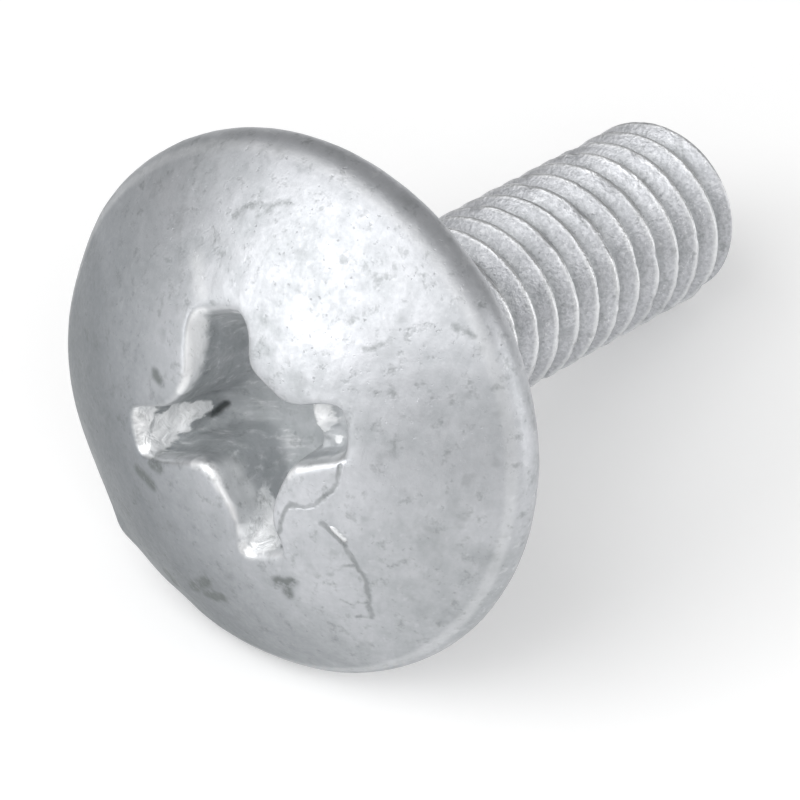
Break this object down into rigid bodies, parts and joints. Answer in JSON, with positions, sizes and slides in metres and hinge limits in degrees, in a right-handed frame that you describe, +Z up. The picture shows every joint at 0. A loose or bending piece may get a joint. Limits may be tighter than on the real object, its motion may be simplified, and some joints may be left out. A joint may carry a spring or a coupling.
{
  "type": "truss head screw",
  "caption": "Zinc coated machine screw with a wide domed truss head, a cross recess, a plain neck and a threaded shank with a flat tip.",
  "frame": {"origin": "on the surface that the screw lies on, under the middle of its bounding box", "axes": "+Z up from the surface; +X along the screw as it lies, towards the tip; +Y level, across the screw. The screw's own axis slopes down 16.5 degrees from the head to the tip."},
  "size_m": [0.0152, 0.011, 0.0106],
  "materials": {
    "zinc_coated_steel": "galvanised, satin, with fine grain, mottling and handling marks"
  },
  "bodies": {
    "root": {"screw": "zinc_coated_steel"}
  },
  "joints": []
}
